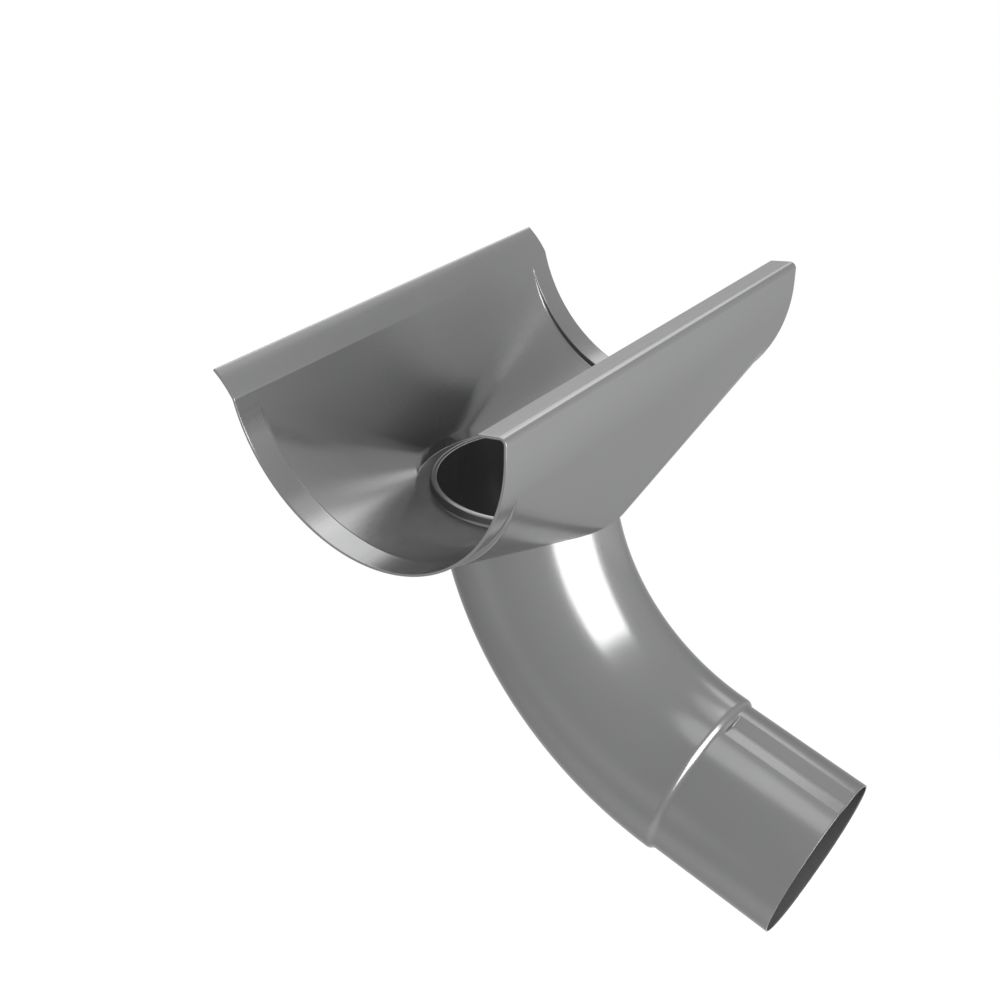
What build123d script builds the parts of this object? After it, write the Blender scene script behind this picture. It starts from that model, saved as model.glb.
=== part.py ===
from build123d import *
import math
import os

# Gutter outlet: a pressed half-round saddle and the downpipe elbow folded into its floor.
# Frame: origin on the gutter's axis at mid-length, +X along the gutter, +Y towards the
# wall, +Z up. All sizes in millimetres, angles in degrees.

# Saddle sheet, wrapped round the outside of a half-round gutter
gutter_outer_radius = 74.8
saddle_sheet = 1.2
saddle_length = 231.0           # along the gutter
band_width = 12.1               # plain half-round band at each end

# Front lip, under the gutter's bead
lip_crease_angle = 14.5         # below the horizontal, where the lip leaves the half-round
lip_reach = 10.8                # outwards from the crease
lip_rise = 11.2                 # upwards from the crease
lip_bow = 0.7                   # hollow of the lip's outer face

# Rear flange, folded in over the gutter's rear edge
rear_wall_height = 9.6          # fold line above the gutter's axis
flange_width = 13.9
flange_droop = 10.0
flange_bend_radius = 3.0        # outside of the fold

# Funnel, pressed down between the bands
funnel_reach = 111.3            # half-length at which its surface meets the half-round
foot_radius = 52.6              # round foot, outside
foot_depth = 89.4               # foot's underside below the gutter's axis
foot_wall = 2.4                 # double wall where the sheet is folded back up
floor_depth = 86.0              # upper face of the floor, below the gutter's axis

# Elbow
pipe_outer_radius = 43.65
pipe_sheet = 0.8
bend_radius = 142.9             # centre line
bend_angle = 75.0
bend_start_depth = 75.3         # level at which the bend's circle runs straight down
collar_top_depth = 81.7         # top of the folded collar, below the gutter's axis
collar_arc = 12.0               # share of the bend that the collar is cut from
collar_clearance = 0.05         # between the layers of the collar

# Spigot, pushed into the downpipe below
spigot_outer_radius = 41.8
spigot_length = 70.2            # from the end of the bend
shoulder_start = 1.3            # straight pipe before the step
shoulder_length = 4.4           # the step, an S in section
groove_start = 6.8              # closed end of the pressed groove
groove_width = 16.4
groove_depth = 2.1              # below the chord between its edges
groove_round = 1.5              # bend along the bottom of the groove

saddle_radius = gutter_outer_radius + saddle_sheet
half_length = saddle_length / 2
funnel_half_length = half_length - band_width
floor_underside_depth = floor_depth + saddle_sheet

# Radii of the collar's three layers: pipe, neck of the floor, pipe turned back down
pipe_inner_radius = pipe_outer_radius - pipe_sheet
neck_inner_radius = pipe_outer_radius + collar_clearance
neck_outer_radius = neck_inner_radius + saddle_sheet
fold_inner_radius = neck_outer_radius + collar_clearance
fold_outer_radius = fold_inner_radius + pipe_sheet
fold_underside_depth = collar_top_depth + pipe_sheet
neck_top_depth = fold_underside_depth + collar_clearance
fold_foot_depth = floor_depth - collar_clearance

foot_stations = [0, 12, 24, 36, 48, 60, 70, 80, 90]     # angles round a quarter of the foot


def ruling_angle(foot_angle, arc_radius, ring_radius, ring_depth):
    """Angle on the end arc whose tangent lies in one plane with the foot's tangent.

    The funnel's ends are developable, as bent sheet is: every straight line in them
    joins a point of the foot to the point of the end arc that shares its tangent plane.
    """
    turn = math.radians(foot_angle)
    down = -ring_depth * math.sin(turn)
    across = ring_radius - funnel_reach * math.cos(turn)
    lean = arc_radius * math.sin(turn) / math.hypot(down, across)
    return math.degrees(math.atan2(down, across) + math.acos(lean))


def arcs_and_chord(plane, radius, angles):
    """Closed wire of arcs about the plane's origin, from angle to angle, and their chord."""
    arcs = [Edge.make_circle(radius, plane, low, high) for low, high in zip(angles, angles[1:])]
    return Wire(arcs + [Edge.make_line(arcs[-1] @ 1, arcs[0] @ 0)])


def funnel_body(arc_radius, ring_radius, ring_depth):
    """Solid form of the funnel: round foot below, half-round ends, flat walls between."""
    wall_side = [ruling_angle(a, arc_radius, ring_radius, ring_depth) for a in foot_stations]
    street_side = [-180 - a for a in reversed(wall_side)]
    ring_angles = [-a for a in reversed(foot_stations)] + foot_stations[1:]
    flat_y = arc_radius * math.cos(math.radians(wall_side[-1]))
    flat_z = arc_radius * math.sin(math.radians(wall_side[-1]))

    end_arc = arcs_and_chord(
        Plane.YZ.offset(funnel_reach), arc_radius, street_side + wall_side[1:]
    )
    half_foot = arcs_and_chord(Plane.XY.offset(-ring_depth), ring_radius, ring_angles)

    with BuildPart() as body:
        # The flat walls are triangles, full length at the top and a point at the foot
        with BuildSketch(Plane.XZ):
            Polygon(
                (-funnel_reach, flat_z), (funnel_reach, flat_z), (0, -ring_depth), align=None
            )
        extrude(amount=arc_radius, both=True)
        for side in (1, -1):
            wall = Plane(
                origin=(0, side * flat_y, flat_z),
                x_dir=(1, 0, 0),
                z_dir=(0, side * flat_y, flat_z),
            )
            split(bisect_by=wall, keep=Keep.BOTTOM)
        add(Solid.make_loft([end_arc, half_foot], ruled=True))
        mirror(about=Plane.YZ)
    return body.part


def bent_tube(outer_radius, inner_radius, sweep_angle):
    """Tube round the elbow's bend, from the level where the bend runs straight down."""
    with BuildPart() as tube:
        with BuildSketch(Plane.XY.offset(-bend_start_depth)):
            Circle(outer_radius)
            if inner_radius > 0:
                Circle(inner_radius, mode=Mode.SUBTRACT)
        centre = Axis((0, bend_radius, -bend_start_depth), (1, 0, 0))
        revolve(axis=centre, revolution_arc=sweep_angle)
    return tube.part


def trimmed(body, top_depth, bottom_depth):
    """What lies of a body between two levels below the gutter's axis."""
    with BuildPart() as layer:
        add(body)
        split(bisect_by=Plane.XY.offset(-top_depth), keep=Keep.BOTTOM)
        split(bisect_by=Plane.XY.offset(-bottom_depth), keep=Keep.TOP)
    return layer.part


# The inner face of the funnel comes down to the floor. Its flat walls stay parallel to the
# outer ones, one sheet thickness inside them, which sets the radius of the floor.
wall_angle = ruling_angle(90, saddle_radius, foot_radius, foot_depth)
floor_radius = (
    gutter_outer_radius + floor_depth * math.sin(math.radians(wall_angle))
) / math.cos(math.radians(wall_angle))

with BuildPart() as outer_funnel:
    add(funnel_body(saddle_radius, foot_radius, foot_depth))
    split(bisect_by=Plane.YZ.offset(funnel_half_length), keep=Keep.BOTTOM)
    split(bisect_by=Plane.YZ.offset(-funnel_half_length), keep=Keep.TOP)

with BuildPart() as inner_funnel:
    add(funnel_body(gutter_outer_radius, floor_radius, floor_depth))
    split(bisect_by=Plane.YZ.offset(funnel_half_length - saddle_sheet), keep=Keep.BOTTOM)
    split(bisect_by=Plane.YZ.offset(saddle_sheet - funnel_half_length), keep=Keep.TOP)

with BuildPart() as saddle:
    add(outer_funnel.part)
    with BuildSketch(Plane.YZ):
        Circle(gutter_outer_radius)
    extrude(amount=half_length, both=True, mode=Mode.SUBTRACT)

    # One strip of sheet: front lip, half-round, rear wall and folded flange
    with BuildSketch(Plane.YZ):
        with BuildLine():
            half_round = CenterArc(
                (0, 0), saddle_radius, 180 + lip_crease_angle, 180 - lip_crease_angle
            )
            crease = half_round @ 0
            SagittaArc((crease.X - lip_reach, crease.Y + lip_rise), crease, lip_bow)
            FilletPolyline(
                half_round @ 1,
                (saddle_radius, rear_wall_height),
                (
                    saddle_radius - flange_width * math.cos(math.radians(flange_droop)),
                    rear_wall_height - flange_width * math.sin(math.radians(flange_droop)),
                ),
                radius=flange_bend_radius,
            )
            offset(amount=saddle_sheet, side=Side.RIGHT)
        make_face()
    extrude(amount=half_length, both=True)
    add(inner_funnel.part, mode=Mode.SUBTRACT)

    # Below the floor, the foot's double wall stands clear as a ring
    with BuildSketch(Plane.XY.offset(-foot_depth)):
        Circle(foot_radius - foot_wall)
    extrude(amount=foot_depth - floor_underside_depth, mode=Mode.SUBTRACT)

    # The outlet hole, with a neck that stands up inside the elbow's collar
    add(
        trimmed(
            bent_tube(neck_outer_radius, neck_inner_radius, collar_arc),
            neck_top_depth,
            floor_underside_depth,
        )
    )
    add(bent_tube(neck_inner_radius, 0, collar_arc), mode=Mode.SUBTRACT)

bend_end = Vector(
    0,
    bend_radius * (1 - math.cos(math.radians(bend_angle))),
    -bend_start_depth - bend_radius * math.sin(math.radians(bend_angle)),
)
spigot_direction = Vector(
    0, math.sin(math.radians(bend_angle)), -math.cos(math.radians(bend_angle))
)


def spigot_form(radius_change):
    """Solid of revolution of shoulder and spigot, larger or smaller by radius_change."""
    half_profile = Plane(
        origin=bend_end, x_dir=(1, 0, 0), z_dir=Vector(1, 0, 0).cross(spigot_direction)
    )
    large = pipe_outer_radius + radius_change
    small = spigot_outer_radius + radius_change
    middle = ((large + small) / 2, shoulder_start + shoulder_length / 2)
    step_end = (small, shoulder_start + shoulder_length)
    with BuildPart() as form:
        with BuildSketch(half_profile):
            with BuildLine():
                start = Line((large, 0), (large, shoulder_start))
                outward = TangentArc(start @ 1, middle, tangent=(0, 1))
                TangentArc(middle, step_end, tangent=outward % 1)
                Polyline(step_end, (small, spigot_length), (0, spigot_length), (0, 0), (large, 0))
            make_face()
        revolve(axis=Axis(bend_end, spigot_direction))
    return form.part


def groove_tool(start, growth):
    """V-shaped bar that presses the groove, from start to past the spigot's open end."""
    chord_height = math.sqrt(spigot_outer_radius ** 2 - (groove_width / 2) ** 2)
    section = Plane(
        origin=bend_end + spigot_direction * start, x_dir=(1, 0, 0), z_dir=spigot_direction
    )
    with BuildPart() as bar:
        with BuildSketch(section):
            with BuildLine():
                FilletPolyline(
                    (-groove_width / 2, -chord_height),
                    (0, groove_depth - chord_height),
                    (groove_width / 2, -chord_height),
                    radius=groove_round,
                )
                Polyline(
                    (groove_width / 2, -chord_height),
                    (groove_width / 2, -pipe_outer_radius),
                    (-groove_width / 2, -pipe_outer_radius),
                    (-groove_width / 2, -chord_height),
                )
            make_face()
            if growth > 0:
                offset(amount=growth, kind=Kind.INTERSECTION)
        extrude(amount=spigot_length)
    return bar.part


with BuildPart() as spigot_bore:
    add(spigot_form(-pipe_sheet))
    add(groove_tool(groove_start - pipe_sheet, pipe_sheet), mode=Mode.SUBTRACT)

with BuildPart() as elbow:
    add(bent_tube(pipe_outer_radius, pipe_inner_radius, bend_angle))
    split(bisect_by=Plane.XY.offset(-collar_top_depth), keep=Keep.BOTTOM)

    # The pipe's end is turned outwards over the neck and back down to the floor
    collar_lip = bent_tube(fold_outer_radius, pipe_outer_radius, collar_arc)
    collar_skirt = bent_tube(fold_outer_radius, fold_inner_radius, collar_arc)
    add(trimmed(collar_lip, collar_top_depth, fold_underside_depth))
    add(trimmed(collar_skirt, fold_underside_depth, fold_foot_depth))

    add(spigot_form(0))
    add(groove_tool(groove_start, 0), mode=Mode.SUBTRACT)
    add(spigot_bore.part, mode=Mode.SUBTRACT)

os.makedirs("parts", exist_ok=True)
saddle.part.label = "saddle"
export_step(saddle.part, "parts/saddle.step")
elbow.part.label = "elbow"
export_step(elbow.part, "parts/elbow.step")
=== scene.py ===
import bpy
import bmesh
import math
from mathutils import Matrix, Vector


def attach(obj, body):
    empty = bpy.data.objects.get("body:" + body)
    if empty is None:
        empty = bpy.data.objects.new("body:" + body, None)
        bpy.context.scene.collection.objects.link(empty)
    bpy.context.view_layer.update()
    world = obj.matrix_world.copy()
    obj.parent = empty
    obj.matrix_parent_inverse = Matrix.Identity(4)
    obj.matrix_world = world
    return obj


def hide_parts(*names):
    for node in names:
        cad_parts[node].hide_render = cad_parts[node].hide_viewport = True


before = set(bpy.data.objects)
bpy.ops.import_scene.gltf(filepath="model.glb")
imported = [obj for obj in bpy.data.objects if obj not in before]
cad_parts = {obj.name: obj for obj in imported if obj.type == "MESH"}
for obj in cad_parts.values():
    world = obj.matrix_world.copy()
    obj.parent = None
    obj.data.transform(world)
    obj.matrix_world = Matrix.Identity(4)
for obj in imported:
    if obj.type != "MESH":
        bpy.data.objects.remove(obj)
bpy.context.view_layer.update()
print("stage: frame loaded")


def sine(angle):                        # of an angle in degrees
    return math.sin(math.radians(angle))


def cosine(angle):
    return math.cos(math.radians(angle))


def direction(turn, rise):              # in degrees, turned from -Y towards +X and raised
    return Vector((sine(turn) * cosine(rise), -cosine(turn) * cosine(rise), sine(rise)))


# The photograph's viewpoint, fitted to the outline of the part
camera = {
    "azimuth": 127.42,          # degrees, from -Y towards +X
    "elevation": 30.0,
    "lens": 52.346,             # millimetres, as the sensor is
    "sensor": 36,
    "originRight": 0.01213,     # where the part's origin lies in the camera's own axes, in metres
    "originUp": 0.08342,
    "originAway": 0.66413,
    "clipEnd": 50,
}


def makeCamera(c):
    back = direction(c["azimuth"], c["elevation"])
    right = Vector((cosine(c["azimuth"]), sine(c["azimuth"]), 0))
    up = back.cross(right)
    place = back * c["originAway"] - right * c["originRight"] - up * c["originUp"]
    data = bpy.data.cameras.new("photoCamera")
    data.lens = c["lens"]
    data.sensor_width = c["sensor"]
    data.clip_end = c["clipEnd"]
    eye = bpy.data.objects.new("photoCamera", data)
    eye.matrix_world = Matrix.Translation(place) @ Matrix((right, up, back)).transposed().to_4x4()
    bpy.context.collection.objects.link(eye)
    bpy.context.scene.camera = eye


makeCamera(camera)
bpy.context.scene.view_settings.view_transform = "Standard"
print("stage: camera placed")

millimetre = 0.001
mergeGap = 0.003                # millimetres
edgeTurn = (0, 30, 60, 90)      # stations round the small curve of an edge
alongX = Vector((1, 0, 0))
softCorner = {                  # points in place of an inner corner, in shares of its width
    "far": 1.5,
    "near": 0.7,
    "middle": 0.22,
    "most": 0.3,                # the widest a corner may be, in shares of the edge beside it
}


def spread(low, high, count):
    return [low + (high - low) * i / count for i in range(count + 1)]


def ease(x):
    x = min(max(x, 0), 1)
    return x * x * (3 - 2 * x)


def edgeSection(width, thickness):      # (reach, share of the thickness) across a cut edge
    half = [(width * sine(q), width * (1 - cosine(q)) / thickness) for q in edgeTurn]
    return half + [(reach, 1 - share) for reach, share in reversed(half)]


def edgeLine(first, second, ahead, section):    # the points of a cut edge between its two faces
    return [first.lerp(second, share) + ahead * reach for reach, share in section]


def softened(points, width):            # a small round in place of each inner corner
    far, near, middle = softCorner["far"], softCorner["near"], softCorner["middle"]
    line = [points[0]]
    for i in range(1, len(points) - 1):
        point = points[i]
        before, after = points[i - 1] - point, points[i + 1] - point
        a = before.normalized() * min(width, before.length * softCorner["most"])
        b = after.normalized() * min(width, after.length * softCorner["most"])
        line += [point + a * far, point + a * near, point + (a + b) * middle]
        line += [point + b * near, point + b * far]
    return line + [points[-1]]


def addGrid(shell, columns, closed=False):
    lines = [[shell.verts.new(point) for point in column] for column in columns]
    if closed:
        lines.append(lines[0])
    for left, right in zip(lines, lines[1:]):
        for i in range(len(left) - 1):
            shell.faces.new((left[i], left[i + 1], right[i + 1], right[i]))


def makePiece(shell, name):             # a closed shell in millimetres becomes a piece in metres
    bmesh.ops.remove_doubles(shell, verts=shell.verts, dist=mergeGap)
    bmesh.ops.dissolve_degenerate(shell, edges=shell.edges, dist=mergeGap / 2)
    bmesh.ops.recalc_face_normals(shell, faces=shell.faces)
    openEdges = sum(1 for edge in shell.edges if len(edge.link_faces) != 2)
    bmesh.ops.scale(shell, vec=(millimetre, millimetre, millimetre), verts=shell.verts)
    for face in shell.faces:
        face.smooth = True
    data = bpy.data.meshes.new(name)
    shell.to_mesh(data)
    shell.free()
    piece = bpy.data.objects.new(name, data)
    bpy.context.collection.objects.link(piece)
    print("stage:", name, "has", len(data.polygons), "faces and", openEdges, "open edges")
    return piece


# One pipe from the collar to the spigot, in millimetres and degrees
elbow = {
    "pipeRadius": 43.65,
    "sheet": 0.8,
    "bendRadius": 142.9,
    "bendAngle": 75.0,
    "bendStart": 75.3,          # depth at which the bend starts
    "collarTop": 81.7,
    "collarFoot": 85.95,
    "collarInside": 44.95,
    "collarOutside": 45.5,
    "collarFlare": 1.15,        # how much wider the folded rim is at its foot
    "flareDepths": (85.7, 84.5, 83.0),  # its rows
    "footBead": 0.35,           # rolled edge at the foot of the rim
    "beadShape": ((1, 0), (0.8, 0.3), (0.3, 0.4)),      # out and up, in shares of the bead
    "lipRound": 0.35,
    "lipHold": 1.6,             # where flat rows start beside the lip, in shares of its round
    "seamRadius": 44.8,         # fine seam round the top of the collar
    "seamWidth": 0.22,
    "seamShape": ((1, 0), (0.5, 0.05), (0, 0.2), (-0.5, 0.05), (-1, 0)),    # share of the width, depth
    "shelfRadius": 44.3,        # flat ring between the seam and the bore
    "underGap": 0.2,            # from the collar's underside to the pipe's first row
    "spigotRadius": 41.8,
    "spigotLength": 70.2,
    "tailRows": (0.6, 1.1),     # between the bend and the shoulder
    "shoulderStart": 1.3,
    "shoulderLength": 4.4,
    "shoulderGap": 0.2,         # from its start to its first row
    "shoulderRows": 14,
    "grooveStart": 6.8,
    "grooveWidth": 16.4,
    "grooveDepth": 2.1,
    "grooveRound": 1.5,
    "grooveEdge": 0.45,         # half the width of its soft sides
    "grooveRim": ((-0.4, 0.86), (0.1, 0.42), (0.6, 0.1), (1, 0)),   # share of that, of the depth
    "grooveColumns": 20,
    "grooveEnd": 0.3,           # half the length over which it starts
    "grooveRise": ((-2, 0), (-1, 0.02), (-0.6, 0.1), (-0.2, 0.35),  # share of that, of the depth
                   (0.2, 0.65), (0.6, 0.9), (1, 0.98), (2, 1)),
    "rowGap": 0.05,             # least room between the shoulder's rows and the groove's
    "spigotRows": 16,
    "spigotFirst": 9,
    "spigotLast": 0.8,          # from the last row to the cut end
    "edgeRound": 0.15,
    "aroundSteps": 150,
    "bendRows": 64,
    "placeName": "straightPlace",       # attribute that keeps the grain in line round the bend
}


def shoulderDrop(e, along):             # two equal arcs, an S from pipe to spigot
    fall = (e["pipeRadius"] - e["spigotRadius"]) / 2
    half = e["shoulderLength"] / 2
    bend = (fall * fall + half * half) / (2 * fall)
    run = min(max(along - e["shoulderStart"], 0), 2 * half)
    if run <= half:
        return bend - math.sqrt(bend * bend - run * run)
    return 2 * fall - bend + math.sqrt(bend * bend - (2 * half - run) ** 2)


def grooveHeight(e, across):            # the V of the groove, above the pipe's own line
    half = e["grooveWidth"] / 2
    slope = e["grooveDepth"] / half
    bottom = math.sqrt(e["spigotRadius"] ** 2 - half * half) - e["grooveDepth"]
    lean = math.hypot(1, slope)
    across = abs(across)
    if across < e["grooveRound"] * slope / lean:
        return bottom + e["grooveRound"] * lean - math.sqrt(e["grooveRound"] ** 2 - across ** 2)
    return bottom + slope * across


def pipeSections(e):                    # angles from the top of the pipe, and the groove's share
    half = e["grooveWidth"] / 2
    edge = e["grooveEdge"]
    inside = spread(-(half - edge), half - edge, e["grooveColumns"])
    sections = [(math.asin(x / e["spigotRadius"]), 1) for x in inside]
    for place, share in e["grooveRim"]:
        angle = math.asin((half + edge * place) / e["spigotRadius"])
        sections = [(-angle, share)] + sections + [(angle, share)]
    first = sections[-1][0]
    rest = spread(first, 2 * math.pi - first, e["aroundSteps"])[1:-1]
    return sections + [(angle, 0) for angle in rest]


def pipeColumn(e, angle, share):
    turnX, turnY = math.sin(angle), math.cos(angle)
    length = math.radians(e["bendAngle"]) * e["bendRadius"]
    column = []

    def level(radius, depth):           # where a level cut meets the straight pipe
        swing = e["bendRadius"] - radius * turnY
        along = e["bendRadius"] * math.asin((depth - e["bendStart"]) / swing)
        column.append(Vector((radius * turnX, radius * turnY, -along)))
        return along

    def station(radius, along, sheet, grooveShare=0):
        x, y = radius * turnX, radius * turnY
        if share and grooveShare:
            slope = math.hypot(1, 2 * e["grooveDepth"] / e["grooveWidth"])
            y += (grooveHeight(e, x) - sheet * slope - y) * share * grooveShare
        column.append(Vector((x, y, -(length + along))))

    def run(first, sheet, radius):      # rows round the bend
        for row in spread(0, 1, e["bendRows"])[1:]:
            station(radius, (first - length) * (1 - row), sheet)

    def tail(sheet):                    # shoulder and grooved spigot
        start = e["grooveStart"] - sheet
        ends = [(start + e["grooveEnd"] * place, groove) for place, groove in e["grooveRise"]]
        first, last = e["shoulderStart"] + e["shoulderGap"], e["shoulderStart"] + e["shoulderLength"]
        plain = [*e["tailRows"], *spread(first, last, e["shoulderRows"])]
        rows = [(along, 0) for along in plain if along < ends[0][0] - e["rowGap"]] + ends
        grooved = spread(e["spigotFirst"], e["spigotLength"] - e["spigotLast"], e["spigotRows"])
        rows += [(along, 1) for along in grooved]
        for along, groove in rows:
            station(e["pipeRadius"] - sheet - shoulderDrop(e, along), along, sheet, groove)

    outer, inner = e["collarOutside"], e["pipeRadius"] - e["sheet"]
    top, foot = e["collarTop"], e["collarFoot"]
    lip, bead = e["lipRound"], e["footBead"]

    def flare(depth):                   # outside of the folded rim
        return outer + e["collarFlare"] * (depth - top) / (foot - top)

    for out, up in e["beadShape"]:
        level(flare(foot) + bead * out, foot - bead * up)
    for depth in (*e["flareDepths"], top + lip * e["lipHold"], top + lip):
        level(flare(depth), depth)
    for q in edgeTurn[1:]:
        level(outer - lip * (1 - cosine(q)), top + lip * (1 - sine(q)))
    for place, depth in e["seamShape"]:
        level(e["seamRadius"] + e["seamWidth"] * place, top + depth)
    level(e["shelfRadius"], top)
    level(inner + lip * e["lipHold"], top)
    for q in edgeTurn[:0:-1]:
        level(inner + lip * (1 - cosine(q)), top + lip * (1 - sine(q)))
    level(inner, top + lip)
    first = level(inner, top + lip * 2)
    run(first, e["sheet"], inner)
    tail(e["sheet"])
    bore, cut = e["spigotRadius"] - e["sheet"], e["spigotLength"] - e["edgeRound"]
    for reach, part in reversed(edgeSection(e["edgeRound"], e["sheet"])):
        station(bore + e["sheet"] * (1 - part), cut + reach, e["sheet"] * part, 1)
    back = column
    column = []
    under = top + e["sheet"]
    first = level(e["pipeRadius"], under + e["underGap"])
    run(first, 0, e["pipeRadius"])
    tail(0)
    back += reversed(column)
    column = []
    level(e["pipeRadius"], under)
    level(e["collarInside"], under)
    level(e["collarInside"], foot)
    level(flare(foot) + bead, foot)
    return back + column


def makeBendTree():                     # Geometry Nodes: a straight pipe goes round the bend
    tree = bpy.data.node_groups.new("bendPipe", "GeometryNodeTree")
    tree.interface.new_socket("Geometry", in_out="INPUT", socket_type="NodeSocketGeometry")
    for name in ("Bend Radius", "Bend Angle", "Bend Start"):
        tree.interface.new_socket(name, in_out="INPUT", socket_type="NodeSocketFloat")
    tree.interface.new_socket("Material", in_out="INPUT", socket_type="NodeSocketMaterial")
    tree.interface.new_socket("Geometry", in_out="OUTPUT", socket_type="NodeSocketGeometry")
    given = tree.nodes.new("NodeGroupInput")
    result = tree.nodes.new("NodeGroupOutput")

    def work(kind, *values):
        node = tree.nodes.new("ShaderNodeMath")
        node.operation = kind
        for socket, value in zip(node.inputs, values):
            if isinstance(value, (int, float)):
                socket.default_value = value
            else:
                tree.links.new(value, socket)
        return node.outputs[0]

    radius, bend, start = (given.outputs[name] for name in ("Bend Radius", "Bend Angle", "Bend Start"))
    place = tree.nodes.new("ShaderNodeSeparateXYZ")
    tree.links.new(tree.nodes.new("GeometryNodeInputPosition").outputs[0], place.inputs[0])
    along = work("MULTIPLY", place.outputs["Z"], -1)
    turned = work("MINIMUM", work("MAXIMUM", work("DIVIDE", along, radius), 0), bend)
    straight = work("SUBTRACT", along, work("MULTIPLY", turned, radius))
    swing = work("SUBTRACT", radius, place.outputs["Y"])
    turnSine, turnCosine = work("SINE", turned), work("COSINE", turned)
    towardsWall = work("ADD", work("SUBTRACT", radius, work("MULTIPLY", swing, turnCosine)),
                       work("MULTIPLY", straight, turnSine))
    down = work("ADD", work("MULTIPLY", swing, turnSine), work("MULTIPLY", straight, turnCosine))
    height = work("MULTIPLY", work("ADD", down, start), -1)
    bent = tree.nodes.new("ShaderNodeCombineXYZ")
    tree.links.new(place.outputs["X"], bent.inputs["X"])
    tree.links.new(towardsWall, bent.inputs["Y"])
    tree.links.new(height, bent.inputs["Z"])
    move = tree.nodes.new("GeometryNodeSetPosition")
    realize = tree.nodes.new("GeometryNodeRealizeInstances")
    paint = tree.nodes.new("GeometryNodeSetMaterial")
    tree.links.new(given.outputs["Geometry"], move.inputs["Geometry"])
    tree.links.new(bent.outputs[0], move.inputs["Position"])
    tree.links.new(move.outputs[0], realize.inputs[0])
    tree.links.new(realize.outputs[0], paint.inputs["Geometry"])
    tree.links.new(given.outputs["Material"], paint.inputs["Material"])
    tree.links.new(paint.outputs[0], result.inputs[0])
    return tree


def bendPiece(piece, e, metal):
    tree = makeBendTree()
    nodes = piece.modifiers.new("bend", "NODES")
    nodes.node_group = tree
    values = {
        "Bend Radius": e["bendRadius"] * millimetre,
        "Bend Angle": math.radians(e["bendAngle"]),
        "Bend Start": e["bendStart"] * millimetre,
        "Material": metal,
    }
    for item in tree.interface.items_tree:
        if item.in_out == "INPUT" and item.name in values:
            nodes[item.identifier] = values[item.name]
    evaluated = piece.evaluated_get(bpy.context.evaluated_depsgraph_get())
    bentMesh = bpy.data.meshes.new_from_object(evaluated)
    piece.modifiers.remove(nodes)
    piece.data = bentMesh
    bentMesh.name = piece.name


# One pressed sheet, in millimetres and degrees
saddle = {
    "gutterRadius": 74.8,
    "sheet": 1.2,
    "length": 231.0,
    "bandWidth": 12.1,          # plain half-round at each end
    "bandFromEnd": (0, 0.5, 3),         # its rows, from the cut end
    "bandFromStep": (5.5, 2.2, 1.2),    # and from the step
    "stepRound": 0.28,          # half the width of the S between band and funnel
    "stepShares": (1, 0.7, 0.4, 0, -0.4, -0.7, -1),     # rows over the S
    "creaseAngle": 14.5,        # front lip
    "creaseGap": 0.4,           # degrees that the crease's round takes up below it
    "creaseShares": (0.25, 0.5, 0.75),  # rows over that round
    "creaseRows": 3,            # round the gutter's line below the crease
    "lipReach": 10.8,
    "lipRise": 11.2,
    "lipBow": 0.7,
    "lipFirst": 0.02,           # share of the lip's bow that the crease's round takes up
    "lipRows": 12,
    "wallHeight": 9.6,          # rear wall and its folded flange
    "wallShares": (0.1, 0.5, 0.9),      # rows up the wall
    "arcRows": 8,               # round the gutter's line below the wall
    "flangeWidth": 13.9,
    "flangeDroop": 10.0,
    "flangeBend": 3.0,
    "flangeRows": 10,           # round its bend
    "flangeShares": (0.05, 0.3, 0.65, 0.97, 1),         # rows out to its tip
    "funnelReach": 111.3,
    "footRadius": 52.6,
    "footDepth": 89.4,
    "footWall": 2.4,
    "floorDepth": 86.0,
    "floorRadius": 53.0,
    "floorGap": 0.1,            # between the elbow's rim and the floor's slope
    "cornerStart": 60,          # where round the foot the steep corner under a flat wall begins
    "cornerHaste": 1.15,        # above 1 it is full before the flat wall
    "cornerSpan": 14.0,         # half the angle that a flat wall takes up on the floor's edge
    "cornerRise": 5.0,
    "leastRise": 0.35,
    "slopeRise": 4.3,           # near the ends the funnel runs straight down to the folded rim
    "slopeFull": 22,
    "slopeEnd": 52,
    "holeRadius": 43.7,
    "neckRadius": 44.9,
    "neckTop": 82.55,
    "edgeRound": 0.25,
    "cornerRound": 0.3,
    "coneColumns": 30,          # round a quarter of the funnel
    "stepColumns": 3,           # up each end of a flat wall
    "wallColumns": 36,          # across a flat wall
    "rulingRows": 12,
    "rulingEnds": (0.012, 0.04),        # rows close to the ends of a straight line
}


def ringPoint(radius, depth, turn):     # on a level ring round the upright axis
    return Vector((radius * cosine(turn), radius * sine(turn), -depth))


def rulingAngle(s, angle, arc, ring, depth):     # where a straight line of the funnel meets its end arc
    down = -depth * sine(angle)
    across = ring - s["funnelReach"] * cosine(angle)
    lean = arc * sine(angle) / math.hypot(down, across)
    return math.degrees(math.atan2(down, across) + math.acos(lean))


def saddleFaces(s):                     # outer and inner face of the funnel
    outside = s["gutterRadius"] + s["sheet"]
    step = s["length"] / 2 - s["bandWidth"]
    wall = rulingAngle(s, 90, outside, s["footRadius"], s["footDepth"])
    ring = (s["gutterRadius"] + s["floorDepth"] * sine(wall)) / cosine(wall)
    outer = {"arc": outside, "ring": s["footRadius"], "depth": s["footDepth"], "step": step}
    inner = {"arc": s["gutterRadius"], "ring": ring, "depth": s["floorDepth"], "step": step - s["sheet"]}
    return outer, inner, wall


def rulingPoint(s, face, angle, x):
    foot = ringPoint(face["ring"], face["depth"], angle)
    meet = rulingAngle(s, angle, face["arc"], face["ring"], face["depth"])
    end = Vector((s["funnelReach"], face["arc"] * cosine(meet), face["arc"] * sine(meet)))
    return foot.lerp(end, (x - foot.x) / (end.x - foot.x))


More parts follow.
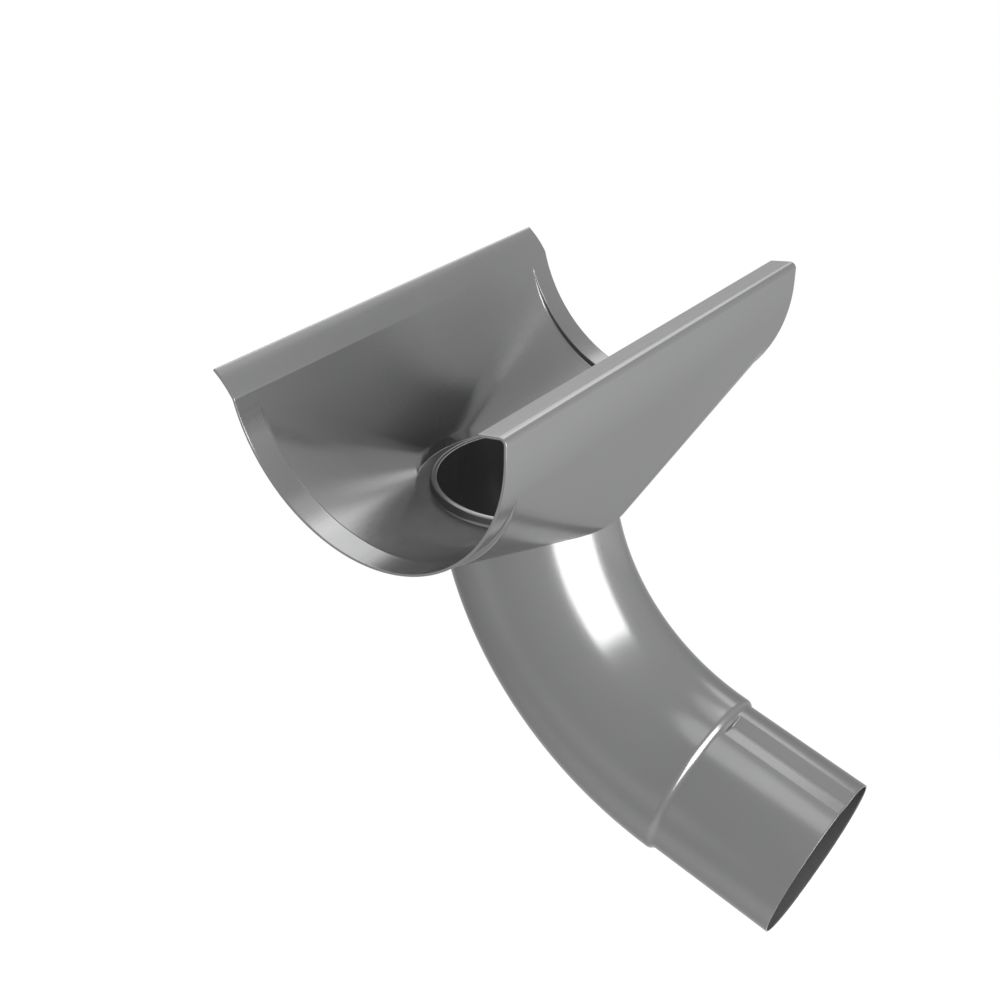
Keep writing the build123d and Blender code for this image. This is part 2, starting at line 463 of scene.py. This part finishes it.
def sidePoint(s, face, column, x, wall):    # funnel face at x, for a column of the cone or of the step's end
    if column["kind"] == "cone":
        return rulingPoint(s, face, column["angle"], x)
    top = Vector((x, face["arc"] * cosine(wall), face["arc"] * sine(wall)))
    return rulingPoint(s, face, 90, x).lerp(top, column["rise"])


def bandRows(s, face, column, wall):    # from the cut end, over the S, to the funnel
    round_ = s["stepRound"]
    end = s["length"] / 2 - s["edgeRound"]
    offsets = [*s["bandFromStep"], *(round_ * share for share in s["stepShares"])]
    places = [end - inwards for inwards in s["bandFromEnd"]] + [face["step"] + offset for offset in offsets]
    rows = []
    for x in places:
        below = sidePoint(s, face, column, min(x, face["step"] + round_), wall)
        far = math.hypot(below.y, below.z)
        share = ease((face["step"] + round_ - x) / (2 * round_))
        radius = face["arc"] + (far - face["arc"]) * share
        rows.append(Vector((x, below.y * radius / far, below.z * radius / far)))
    return rows


def funnelColumn(s, outer, inner, column, wall):    # outer foot, neck, floor and inner face
    flat = column["kind"] != "cone"
    angle = 90 if flat else column["angle"]
    starts = []
    for face in (outer, inner):
        x = face["step"] - s["stepRound"]
        if column["kind"] == "wall":
            x *= column["across"]
            starts.append(Vector((x, face["arc"] * cosine(wall), face["arc"] * sine(wall))))
        else:
            starts.append(sidePoint(s, face, column, x, wall))
    sideX, sideY = column["sides"]
    turn = math.degrees(math.atan2(sideY * sine(angle), sideX * cosine(angle)))

    def placed(point):
        return Vector((point.x * sideX, point.y * sideY, point.z))

    foot = inner["ring"] * Vector((cosine(angle), sine(angle), 0)) - Vector((0, 0, inner["depth"]))
    corner = ease((angle - s["cornerStart"]) / (90 - s["cornerStart"]) * s["cornerHaste"])
    slope = 0 if flat else 1 - ease((angle - s["slopeFull"]) / (s["slopeEnd"] - s["slopeFull"]))
    rise = s["leastRise"] + (s["cornerRise"] - s["leastRise"]) * corner + s["slopeRise"] * slope
    knee = foot.lerp(starts[1], rise / (starts[1].z - foot.z))
    if column["kind"] == "wall":
        edgeAngle = 90 - s["cornerSpan"] * column["across"]
    elif column["kind"] == "end":
        edgeAngle = 90 - s["cornerSpan"]
    else:
        squeeze = (90 - s["cornerSpan"] - s["cornerStart"]) / (90 - s["cornerStart"])
        edgeAngle = min(angle, s["cornerStart"] + (angle - s["cornerStart"]) * squeeze)
    floorStart = elbow["collarOutside"] + elbow["collarFlare"] + elbow["footBead"] + s["floorGap"]
    lift = slope * rise * (s["floorRadius"] - floorStart) / (math.hypot(knee.x, knee.y) - floorStart)
    floorEdge = placed(ringPoint(s["floorRadius"], s["floorDepth"] - lift, edgeAngle))
    under = s["floorDepth"] + s["sheet"]
    recess = s["footRadius"] - s["footWall"]
    keyPoints = [
        placed(starts[0]),
        ringPoint(s["footRadius"], s["footDepth"], turn),
        ringPoint(recess, s["footDepth"], turn),
        ringPoint(recess, under, turn),
        levelRing(s["holeRadius"], under, turn),
        levelRing(s["holeRadius"], s["neckTop"], turn),
        levelRing(s["neckRadius"], s["neckTop"], turn),
        levelRing(s["neckRadius"], s["floorDepth"], turn),
        levelRing(floorStart, s["floorDepth"], turn),
        floorEdge,
        placed(knee),
        placed(starts[1]),
    ]
    line = softened(keyPoints, s["cornerRound"])
    shares = [*s["rulingEnds"], *spread(0, 1, s["rulingRows"])[1:-1]]
    down = [line[0]] + [line[0].lerp(line[1], share) for share in shares]
    up = [line[-1].lerp(line[-2], share) for share in reversed(shares)] + [line[-1]]
    return down + line[1:-1] + up


def levelRing(radius, depth, turn):     # a level cut round the bent neck
    swing = elbow["bendRadius"] - radius * sine(turn)
    drop = (depth - elbow["bendStart"]) / swing
    y = elbow["bendRadius"] - swing * math.sqrt(1 - drop * drop)
    return Vector((radius * cosine(turn), y, -depth))


def arcRows(centreY, centreZ, radius, low, high, count, facing=1):
    rows = []
    for angle in spread(low, high, count):
        out = (facing * cosine(angle), facing * sine(angle))
        rows.append((centreY + radius * cosine(angle), centreZ + radius * sine(angle), out))
    return rows


def rearProfile(s, wall):               # outer face above the flat wall: (y, z, outward)
    outside = s["gutterRadius"] + s["sheet"]
    turn = 90 + s["flangeDroop"]
    bend = s["flangeBend"]
    used = bend * math.tan(math.radians(turn / 2))
    rows = arcRows(0, 0, outside, wall, 0, s["arcRows"])
    wallEnd = s["wallHeight"] - used
    rows += [(outside, wallEnd * k, (1, 0)) for k in s["wallShares"]]
    rows += arcRows(outside - bend, wallEnd, bend, 0, turn, s["flangeRows"])
    y, z, out = rows[-1]
    left = s["flangeWidth"] - used - s["edgeRound"]
    rows += [(y - out[1] * left * k, z + out[0] * left * k, out) for k in s["flangeShares"]]
    return rows


def frontProfile(s, wall):              # the same on the street side, mirrored to +Y
    outside = s["gutterRadius"] + s["sheet"]
    crease = -s["creaseAngle"]
    y, z = outside * cosine(crease), outside * sine(crease)
    chord = math.hypot(s["lipReach"], s["lipRise"])
    bend = (chord * chord / 4 + s["lipBow"] ** 2) / (2 * s["lipBow"])
    across, up = s["lipRise"] / chord, -s["lipReach"] / chord       # square to the lip, outwards
    sink = bend - s["lipBow"]
    centreY = y + s["lipReach"] / 2 + across * sink
    centreZ = z + s["lipRise"] / 2 + up * sink
    first = math.degrees(math.atan2(z - centreZ, y - centreY)) % 360
    last = math.degrees(math.atan2(z + s["lipRise"] - centreZ, y + s["lipReach"] - centreY)) % 360
    rows = arcRows(0, 0, outside, wall, crease - s["creaseGap"], s["creaseRows"])
    lipStart = first + (last - first) * s["lipFirst"]
    lipEnd = last - (last - first) * s["edgeRound"] / chord
    lip = arcRows(centreY, centreZ, bend, lipStart, lipEnd, s["lipRows"], facing=-1)
    before, after = rows[-1], lip[0]
    corner = Vector((y, z))
    for k in s["creaseShares"]:
        out = Vector(before[2]).lerp(Vector(after[2]), k).normalized()
        middle = Vector(before[:2]).lerp(corner, k).lerp(corner.lerp(Vector(after[:2]), k), k)
        rows.append((middle.x, middle.y, tuple(out)))
    return rows + lip


def mirrored(line, sides):
    return [Vector((point.x * sides[0], point.y * sides[1], point.z)) for point in line]


def bandColumn(s, outer, inner, column, wall, section):     # round the cut end of the sheet
    outside, inside = bandRows(s, outer, column, wall), bandRows(s, inner, column, wall)
    rim = edgeLine(outside[0], inside[0], alongX, section)
    return mirrored(outside[::-1] + rim + inside, column["sides"])


def sheetRow(s, row, outerX, innerX):   # outer and inner point of the sheet
    y, z, out = row
    deep = s["sheet"]
    return Vector((outerX, y, z)), Vector((innerX, y - out[0] * deep, z - out[1] * deep))


def addUpperSheet(shell, s, profile, places, section, side):     # lip, or rear wall and flange
    outY, outZ = profile[-1][2]
    ahead = Vector((0, -outZ, outY))
    columns = []
    for outerX, innerX in places:
        pairs = [sheetRow(s, row, outerX, innerX) for row in profile]
        tip = edgeLine(*pairs[-1], ahead, section)
        columns.append([pair[0] for pair in pairs] + tip + [pair[1] for pair in reversed(pairs)])
    addGrid(shell, [mirrored(column, (1, side)) for column in columns])
    x = places[0][0]                    # the cut ends, and their corners with the tip
    ends = [(*sheetRow(s, row, x, x), alongX) for row in profile]
    ends.append((*ends[-1][:2], ahead))
    rims = [[first] + edgeLine(first, second, out, section) + [second] for first, second, out in ends]
    for end in (1, -1):
        addGrid(shell, [mirrored(line, (end, side)) for line in rims])


def makeSaddle(s):
    outer, inner, wall = saddleFaces(s)
    section = edgeSection(s["edgeRound"], s["sheet"])[1:-1]
    quarter = [{"kind": "cone", "angle": angle} for angle in spread(0, 90, s["coneColumns"])]
    quarter += [{"kind": "end", "rise": rise} for rise in spread(0, 1, s["stepColumns"])[1:]]
    across = spread(1, -1, s["wallColumns"])[1:-1]

    def side(x, y):
        return [dict(column, sides=(x, y)) for column in quarter]

    rear = [{"kind": "wall", "across": k, "sides": (1, 1)} for k in across]
    front = [{"kind": "wall", "across": -k, "sides": (1, -1)} for k in across]
    loop = side(1, 1) + rear + side(-1, 1)[::-1] + side(-1, -1)[1:] + front + side(1, -1)[:0:-1]
    shell = bmesh.new()
    addGrid(shell, [funnelColumn(s, outer, inner, column, wall) for column in loop], closed=True)
    for end in (1, -1):
        columns = side(end, -1)[:0:-1] + side(end, 1)
        addGrid(shell, [bandColumn(s, outer, inner, column, wall, section) for column in columns])
    lines = []
    for face in (outer, inner):
        band = [row.x for row in bandRows(s, face, quarter[-1], wall)]
        lines.append(band + [k * band[-1] for k in across] + [-x for x in reversed(band)])
    places = list(zip(*lines))
    addUpperSheet(shell, s, rearProfile(s, wall), places, section, 1)
    addUpperSheet(shell, s, frontProfile(s, wall), places, section, -1)
    return makePiece(shell, "saddleSheet")


def makeElbow(e, metal):
    shell = bmesh.new()
    addGrid(shell, [pipeColumn(e, angle, share) for angle, share in pipeSections(e)], closed=True)
    piece = makePiece(shell, "elbowPipe")
    straight = piece.data.attributes.new(e["placeName"], "FLOAT_VECTOR", "POINT")
    for i, vertex in enumerate(piece.data.vertices):
        straight.data[i].vector = vertex.co
    bendPiece(piece, e, metal)
    return piece


# Finish: rolled zinc with a thin grey patina
finish = {
    "fresh": (0.18, 0.181, 0.181, 1),
    "dull": (0.16, 0.161, 0.161, 1),
    "metallicFresh": 0.76,
    "metallicDull": 0.7,
    "edgeTint": (0.35, 0.35, 0.35, 1),
    "smooth": 0.195,            # roughness along the rolled grain
    "rough": 0.235,
    "grainScale": 700,
    "grainStretch": 0.04,
    "grainDepth": 0.00001,
    "grainRange": (0.3, 0.7),   # noise levels that count as smoothest and roughest
    "cloudScale": 11,
    "cloudRange": (0.32, 0.68),         # as fresh and dull
    "markScale": 16,
    "markStretch": 0.12,
    "markTurn": (0.2, 0.3, 0.1),
    "markSway": 0.05,
    "markWidth": 0.006,
    "markRange": (0.52, 0.7),   # as no marks and full marks
    "markRough": 0.05,          # how much rougher a mark is
}


def newGroup(name, inputs, outputs):
    group = bpy.data.node_groups.new(name, "ShaderNodeTree")
    for label, kind in inputs:
        group.interface.new_socket(label, in_out="INPUT", socket_type="NodeSocket" + kind)
    for label, kind in outputs:
        group.interface.new_socket(label, in_out="OUTPUT", socket_type="NodeSocket" + kind)
    return group, group.nodes.new("NodeGroupInput"), group.nodes.new("NodeGroupOutput")


def addRange(tree, value, fromMin, fromMax):
    node = tree.nodes.new("ShaderNodeMapRange")
    node.inputs["From Min"].default_value = fromMin
    node.inputs["From Max"].default_value = fromMax
    tree.links.new(value, node.inputs["Value"])
    return node


def makeGrain(f):                       # fine streaks left by the rolls
    inputs = [("Place", "Vector"), ("Scale", "Float"), ("Smooth", "Float"), ("Rough", "Float")]
    group, given, result = newGroup("rolledGrain", inputs, [("Roughness", "Float"), ("Height", "Float")])
    streaks = group.nodes.new("ShaderNodeTexNoise")
    streaks.inputs["Detail"].default_value = 3
    streaks.inputs["Roughness"].default_value = 0.6
    group.links.new(given.outputs["Place"], streaks.inputs["Vector"])
    group.links.new(given.outputs["Scale"], streaks.inputs["Scale"])
    level = addRange(group, streaks.outputs["Fac"], *f["grainRange"])
    group.links.new(given.outputs["Smooth"], level.inputs["To Min"])
    group.links.new(given.outputs["Rough"], level.inputs["To Max"])
    group.links.new(level.outputs[0], result.inputs["Roughness"])
    group.links.new(streaks.outputs["Fac"], result.inputs["Height"])
    return group


def makePatina(f):                      # soft clouds where the zinc has dulled
    inputs = [("Place", "Vector"), ("Scale", "Float"), ("Fresh", "Color"), ("Dull", "Color")]
    group, given, result = newGroup("zincPatina", inputs, [("Color", "Color"), ("Dullness", "Float")])
    clouds = group.nodes.new("ShaderNodeTexNoise")
    clouds.inputs["Detail"].default_value = 4
    clouds.inputs["Roughness"].default_value = 0.55
    clouds.inputs["Distortion"].default_value = 0.4
    group.links.new(given.outputs["Place"], clouds.inputs["Vector"])
    group.links.new(given.outputs["Scale"], clouds.inputs["Scale"])
    level = addRange(group, clouds.outputs["Fac"], *f["cloudRange"])
    tone = group.nodes.new("ShaderNodeMix")
    tone.data_type = "RGBA"
    group.links.new(level.outputs[0], tone.inputs["Factor"])
    group.links.new(given.outputs["Fresh"], tone.inputs[6])
    group.links.new(given.outputs["Dull"], tone.inputs[7])
    group.links.new(tone.outputs[2], result.inputs["Color"])
    group.links.new(level.outputs[0], result.inputs["Dullness"])
    return group


def makeMarks(f):                       # few thin rubs from handling
    inputs = [("Place", "Vector"), ("Scale", "Float"), ("Width", "Float")]
    group, given, result = newGroup("handlingMarks", inputs, [("Mark", "Float")])
    sway = group.nodes.new("ShaderNodeTexNoise")
    sway.inputs["Detail"].default_value = 1
    bent = group.nodes.new("ShaderNodeVectorMath")
    bent.operation = "MULTIPLY_ADD"
    bent.inputs[1].default_value = (f["markSway"],) * 3
    lines = group.nodes.new("ShaderNodeTexVoronoi")
    lines.feature = "DISTANCE_TO_EDGE"
    patches = group.nodes.new("ShaderNodeTexNoise")
    patches.inputs["Detail"].default_value = 1
    for node in (sway, patches):
        group.links.new(given.outputs["Place"], node.inputs["Vector"])
        group.links.new(given.outputs["Scale"], node.inputs["Scale"])
    group.links.new(sway.outputs["Color"], bent.inputs[0])
    group.links.new(given.outputs["Place"], bent.inputs[2])
    group.links.new(bent.outputs[0], lines.inputs["Vector"])
    group.links.new(given.outputs["Scale"], lines.inputs["Scale"])
    thin = addRange(group, lines.outputs["Distance"], 0, 1)
    group.links.new(given.outputs["Width"], thin.inputs["From Max"])
    thin.inputs["To Min"].default_value = 1
    thin.inputs["To Max"].default_value = 0
    some = addRange(group, patches.outputs["Fac"], *f["markRange"])
    both = group.nodes.new("ShaderNodeMath")
    both.operation = "MULTIPLY"
    group.links.new(thin.outputs[0], both.inputs[0])
    group.links.new(some.outputs[0], both.inputs[1])
    group.links.new(both.outputs[0], result.inputs["Mark"])
    return group


grainGroup = makeGrain(finish)
patinaGroup = makePatina(finish)
marksGroup = makeMarks(finish)


def makeZinc(name, f, along, placeName=None):     # along is the rolled direction
    metal = bpy.data.materials.new(name)
    metal.use_nodes = True
    tree = metal.node_tree
    shader = tree.nodes["Principled BSDF"]
    if placeName:
        place = tree.nodes.new("ShaderNodeAttribute")
        place.attribute_name = placeName
        source = place.outputs["Vector"]
    else:
        source = tree.nodes.new("ShaderNodeTexCoord").outputs["Object"]

    def stretched(amount, turn=(0, 0, 0)):
        mapping = tree.nodes.new("ShaderNodeMapping")
        mapping.inputs["Scale"].default_value = [amount if axis == along else 1 for axis in "XYZ"]
        mapping.inputs["Rotation"].default_value = turn
        tree.links.new(source, mapping.inputs["Vector"])
        return mapping.outputs[0]

    def placed(group, vector, **values):
        node = tree.nodes.new("ShaderNodeGroup")
        node.node_tree = group
        tree.links.new(vector, node.inputs["Place"])
        for label, value in values.items():
            node.inputs[label].default_value = value
        return node

    grain = placed(grainGroup, stretched(f["grainStretch"]),
                   Scale=f["grainScale"], Smooth=f["smooth"], Rough=f["rough"])
    patina = placed(patinaGroup, source, Scale=f["cloudScale"], Fresh=f["fresh"], Dull=f["dull"])
    marks = placed(marksGroup, stretched(f["markStretch"], f["markTurn"]),
                   Scale=f["markScale"], Width=f["markWidth"])
    rubbed = tree.nodes.new("ShaderNodeMath")
    rubbed.operation = "MULTIPLY_ADD"
    rubbed.inputs[1].default_value = f["markRough"]
    tree.links.new(marks.outputs["Mark"], rubbed.inputs[0])
    tree.links.new(grain.outputs["Roughness"], rubbed.inputs[2])
    shine = addRange(tree, patina.outputs["Dullness"], 0, 1)
    shine.inputs["To Min"].default_value = f["metallicFresh"]
    shine.inputs["To Max"].default_value = f["metallicDull"]
    bump = tree.nodes.new("ShaderNodeBump")
    bump.inputs["Strength"].default_value = 1
    bump.inputs["Distance"].default_value = f["grainDepth"]
    tree.links.new(grain.outputs["Height"], bump.inputs["Height"])
    tree.links.new(patina.outputs["Color"], shader.inputs["Base Color"])
    tree.links.new(rubbed.outputs[0], shader.inputs["Roughness"])
    tree.links.new(shine.outputs[0], shader.inputs["Metallic"])
    tree.links.new(bump.outputs[0], shader.inputs["Normal"])
    shader.inputs["Specular Tint"].default_value = f["edgeTint"]
    return metal


elbowPipe = makeElbow(elbow, makeZinc("zincPipe", finish, "Z", elbow["placeName"]))
saddleSheet = makeSaddle(saddle)
saddleSheet.data.materials.append(makeZinc("zincSheet", finish, "X"))
print("stage: zinc finish on both pieces")
for piece, node in ((elbowPipe, "elbow"), (saddleSheet, "saddle")):
    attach(piece, "root")
    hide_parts(node)

# White studio: soft boxes, each at an angle from the camera's side and with its level over white
studio = {
    "white": 1.0,               # what the camera and the metal see
    "fill": 1.0,                # what lights matte surfaces
    "lampDistance": 2.5,
    "aim": (0.0, 0.03, -0.1),
    "lamps": [                  # name, shape, turn to the camera's right, rise, width, height, level
        ("sideBox", "RECTANGLE", 54.5, 2, 53, 58, 8.6),
        ("backBox", "ELLIPSE", 180, 44, 57, 48, 2.75),
        ("edgeBox", "ELLIPSE", 140, 53, 27, 26, 0.9),
        ("lowBox", "RECTANGLE", 184, 5, 50, 48, 1.1),
        ("narrowBox", "ELLIPSE", 146, 19, 15, 13, 2.4),
        ("wallBox", "ELLIPSE", 110, -28, 56, 40, 0.35),
        ("footBox", "ELLIPSE", -78, -12, 60, 44, 0.3),
        ("topBox", "ELLIPSE", 20, 86, 31, 31, 1.3),
    ],
}


def addLamp(s, name, shape, turn, rise, width, height, level):
    away = direction(camera["azimuth"] + turn, rise)
    light = bpy.data.lights.new(name, "AREA")
    light.shape = shape
    light.size = 2 * s["lampDistance"] * math.tan(math.radians(width / 2))
    light.size_y = 2 * s["lampDistance"] * math.tan(math.radians(height / 2))
    area = light.size * light.size_y * (math.pi / 4 if shape == "ELLIPSE" else 1)
    light.energy = level * math.pi * area
    lamp = bpy.data.objects.new(name, light)
    lamp.location = Vector(s["aim"]) + away * s["lampDistance"]
    lamp.rotation_euler = away.to_track_quat("Z", "Y").to_euler()
    bpy.context.collection.objects.link(lamp)


def makeWorld(s):                       # the white ground shows to the camera and in the metal
    world = bpy.data.worlds.new("studio")
    world.use_nodes = True
    tree = world.node_tree
    ground = tree.nodes["Background"]
    ground.inputs["Color"].default_value = (1, 1, 1, 1)
    path = tree.nodes.new("ShaderNodeLightPath")
    seen = path.outputs["Is Camera Ray"]
    for ray in ("Is Glossy Ray", "Is Transmission Ray"):
        either = tree.nodes.new("ShaderNodeMath")
        either.operation = "MAXIMUM"
        tree.links.new(seen, either.inputs[0])
        tree.links.new(path.outputs[ray], either.inputs[1])
        seen = either.outputs[0]
    strength = addRange(tree, seen, 0, 1)
    strength.inputs["To Min"].default_value = s["fill"]
    strength.inputs["To Max"].default_value = s["white"]
    tree.links.new(strength.outputs[0], ground.inputs["Strength"])
    bpy.context.scene.world = world


for lamp in studio["lamps"]:
    addLamp(studio, *lamp)
makeWorld(studio)
print("stage: studio with", len(studio["lamps"]), "soft boxes")

floor = {
    "depth": 0.9,
    "radius": 2.0,
    "sides": 96,
    "fadeStart": 0.3,           # it thins out from here, and the white ground takes over
    "fadeEnd": 1.0,
    "colour": (0.75, 0.75, 0.75, 1),
}


def makeFloor(f):
    shell = bmesh.new()
    bmesh.ops.create_circle(shell, cap_ends=True, segments=f["sides"], radius=f["radius"],
                            matrix=Matrix.Translation((0, 0, -f["depth"])))
    data = bpy.data.meshes.new("paleFloor")
    shell.to_mesh(data)
    shell.free()
    ground = bpy.data.objects.new("paleFloor", data)
    bpy.context.collection.objects.link(ground)
    paint = bpy.data.materials.new("paleFloor")
    paint.use_nodes = True
    tree = paint.node_tree
    tree.nodes.clear()
    place = tree.nodes.new("ShaderNodeTexCoord")
    flat = tree.nodes.new("ShaderNodeVectorMath")
    flat.operation = "MULTIPLY"
    flat.inputs[1].default_value = (1, 1, 0)
    far = tree.nodes.new("ShaderNodeVectorMath")
    far.operation = "LENGTH"
    fade = addRange(tree, far.outputs["Value"], f["fadeStart"], f["fadeEnd"])
    fade.interpolation_type = "SMOOTHSTEP"
    matte = tree.nodes.new("ShaderNodeBsdfDiffuse")
    matte.inputs["Color"].default_value = f["colour"]
    clear = tree.nodes.new("ShaderNodeBsdfTransparent")
    mix = tree.nodes.new("ShaderNodeMixShader")
    end = tree.nodes.new("ShaderNodeOutputMaterial")
    tree.links.new(place.outputs["Object"], flat.inputs[0])
    tree.links.new(flat.outputs[0], far.inputs[0])
    tree.links.new(fade.outputs[0], mix.inputs[0])
    tree.links.new(matte.outputs[0], mix.inputs[1])
    tree.links.new(clear.outputs[0], mix.inputs[2])
    tree.links.new(mix.outputs[0], end.inputs["Surface"])
    data.materials.append(paint)


makeFloor(floor)
print("stage: pale floor", floor["depth"], "m below the gutter's axis")
